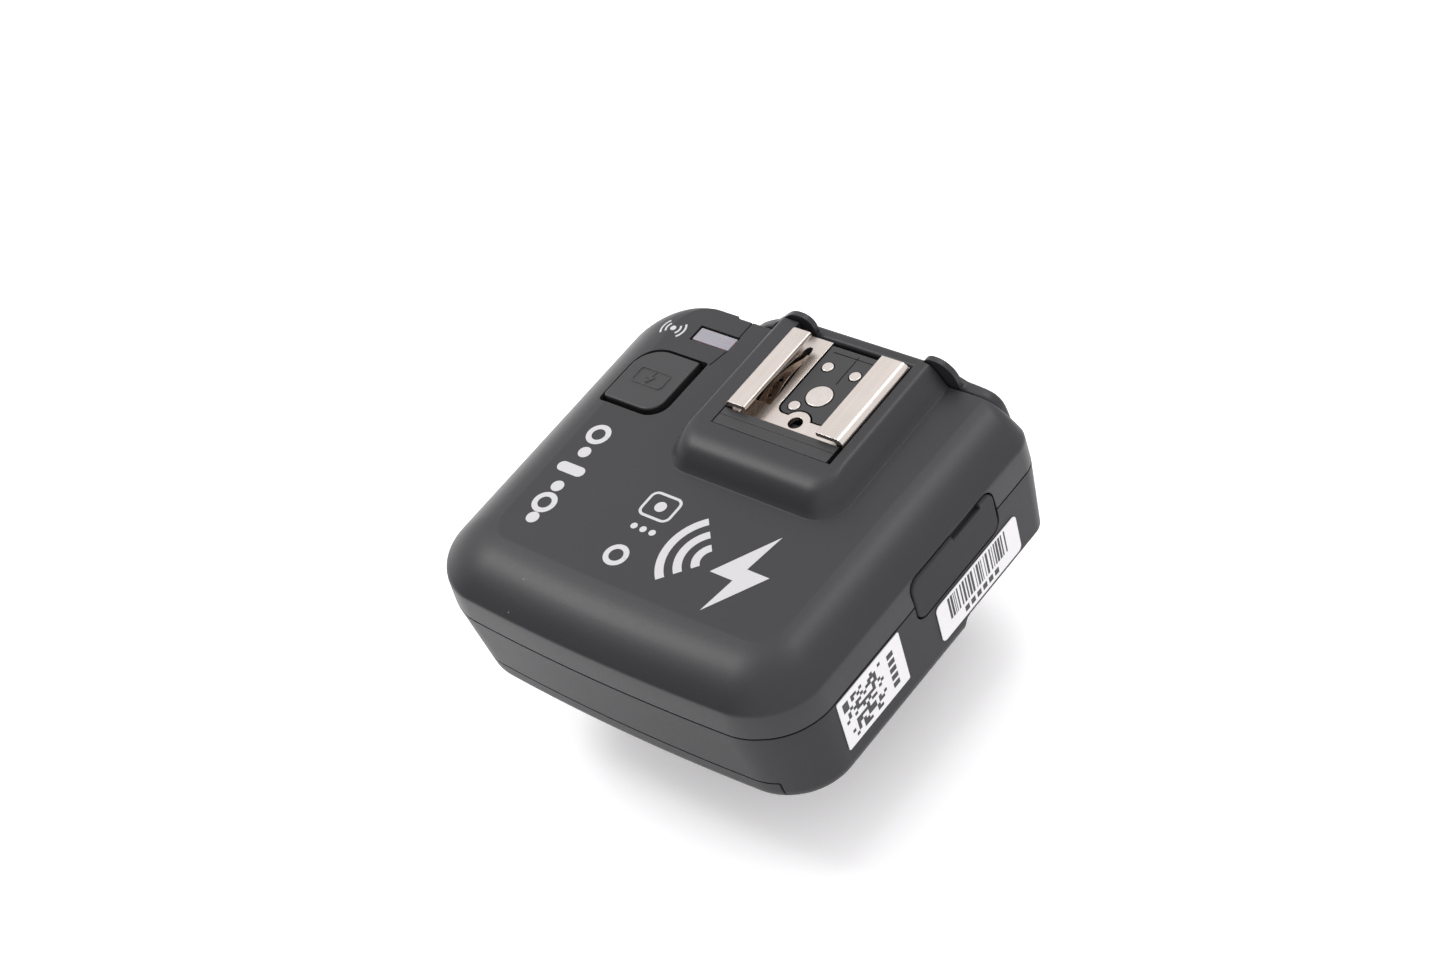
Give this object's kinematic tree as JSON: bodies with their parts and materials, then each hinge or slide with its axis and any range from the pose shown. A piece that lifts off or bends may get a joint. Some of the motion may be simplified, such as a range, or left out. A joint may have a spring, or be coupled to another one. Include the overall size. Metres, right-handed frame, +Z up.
{
  "type": "wireless flash trigger",
  "caption": "Small wireless flash trigger with a metal flash shoe on top, a display and keys at the back, a sliding battery door and a locking shoe foot.",
  "frame": {"origin": "under the middle of the bounding box, on the underside of the foot plate", "axes": "+Z up through the shoe; -Y is the rounded front over the cells; +Y is the back with the display and the shoe entrance; +X is the side with the socket cover"},
  "size_m": [0.07, 0.065, 0.0466],
  "materials": {
    "shell_plastic": "fine matte texture",
    "control_plastic": "satin",
    "insert_plastic": "satin",
    "cover_rubber": "matte",
    "shoe_metal": "nickel plated, satin",
    "contact_metal": "nickel plated, satin",
    "foot_metal": "satin",
    "foot_plastic": "satin",
    "thread_brass": "turned",
    "lamp_plastic": "frosted, translucent",
    "display_window": "glossy",
    "display_panel": "liquid crystal behind a polariser",
    "board": "solder mask",
    "component_plastic": "moulded",
    "can_metal": "tinned",
    "cell_jacket": "printed jacket",
    "spring_steel": "nickel plated",
    "screw_steel": "zinc plated",
    "label_paper": "printed",
    "emitter": "clear"
  },
  "bodies": {
    "housing": {"top_shell": "shell_plastic", "bottom_shell": "shell_plastic", "rear_panel": "shell_plastic", "lcd_window": "display_window", "lcd_module": "display_panel", "display_board": "board", "channel_switch": "can_metal", "group_switch": "can_metal", "shoe_rails": "shoe_metal", "shoe_spring": "shoe_metal", "shoe_contact_block": "insert_plastic", "shoe_front_stop": "insert_plastic", "shoe_centre_contact": "contact_metal", "shoe_contact_1": "contact_metal", "shoe_contact_2": "contact_metal", "shoe_contact_3": "contact_metal", "test_switch": "can_metal", "status_window": "lamp_plastic", "status_led": "emitter", "usb_socket": "can_metal", "sync_socket": "component_plastic", "power_switch_body": "can_metal", "main_board": "board", "radio_module": "can_metal", "status_buzzer": "component_plastic", "battery_cell_front": "cell_jacket", "battery_cell_rear": "cell_jacket", "battery_bridge": "spring_steel", "battery_terminal_front": "spring_steel", "battery_terminal_rear": "spring_steel", "battery_spring_front": "spring_steel", "battery_spring_rear": "spring_steel", "case_screw_rear_left": "screw_steel", "case_screw_rear_right": "screw_steel", "case_screw_front_left": "screw_steel", "case_screw_front_right": "screw_steel", "neck_screw_1": "screw_steel", "neck_screw_2": "screw_steel", "neck_screw_3": "screw_steel", "neck_screw_4": "screw_steel", "foot_screw_left": "screw_steel", "foot_screw_right": "screw_steel", "foot_plate": "foot_metal", "foot_neck": "foot_plastic", "foot_thread_insert": "thread_brass", "side_label_front": "label_paper", "side_label_rear": "label_paper"},
    "test_key": {"test_button": "control_plastic"},
    "channel_key": {"channel_button": "control_plastic"},
    "group_key": {"group_button": "control_plastic"},
    "power_slider": {"power_switch_knob": "control_plastic"},
    "battery_cover": {"battery_door": "shell_plastic"},
    "socket_cover": {"port_cover": "cover_rubber"},
    "clamp_plate": {"lock_plate": "foot_plastic"},
    "clamp_ring": {"lock_ring": "foot_plastic"}
  },
  "joints": [
    {"name": "test_button_press", "type": "slide", "parent": "housing", "child": "test_key", "axis": [0, 0, -1], "range_m": [0, 0.0005], "stiffness_N_per_m": 200, "springref_m": -0.0005},
    {"name": "channel_button_press", "type": "slide", "parent": "housing", "child": "channel_key", "axis": [0, -1, 0], "range_m": [0, 0.0005], "stiffness_N_per_m": 200, "springref_m": -0.0005},
    {"name": "group_button_press", "type": "slide", "parent": "housing", "child": "group_key", "axis": [0, -1, 0], "range_m": [0, 0.0005], "stiffness_N_per_m": 200, "springref_m": -0.0005},
    {"name": "power_switch_slide", "type": "slide", "parent": "housing", "child": "power_slider", "axis": [0, 1, 0], "range_m": [0, 0.004]},
    {"name": "battery_door_slide", "type": "slide", "parent": "housing", "child": "battery_cover", "axis": [0, -1, 0], "range_m": [0, 0.006]},
    {"name": "port_cover_hinge", "type": "hinge", "parent": "housing", "child": "socket_cover", "pos_m": [0.03444, -0.0018, 0.03345], "axis": [0, 0, -1], "range_deg": [0, 100]},
    {"name": "lock_plate_slide", "type": "slide", "parent": "housing", "child": "clamp_plate", "axis": [0, 0, -1], "range_m": [0, 0.0021]},
    {"name": "lock_ring_turn", "type": "hinge", "parent": "clamp_plate", "child": "clamp_ring", "pos_m": [0.0057, 0.019, 0.0094], "axis": [0, 0, -1], "range_deg": [0, 505]}
  ],
  "couplings": [
    {"joint": "lock_ring_turn", "follows": "lock_plate_slide", "rad_per_m": 4188.8}
  ]
}
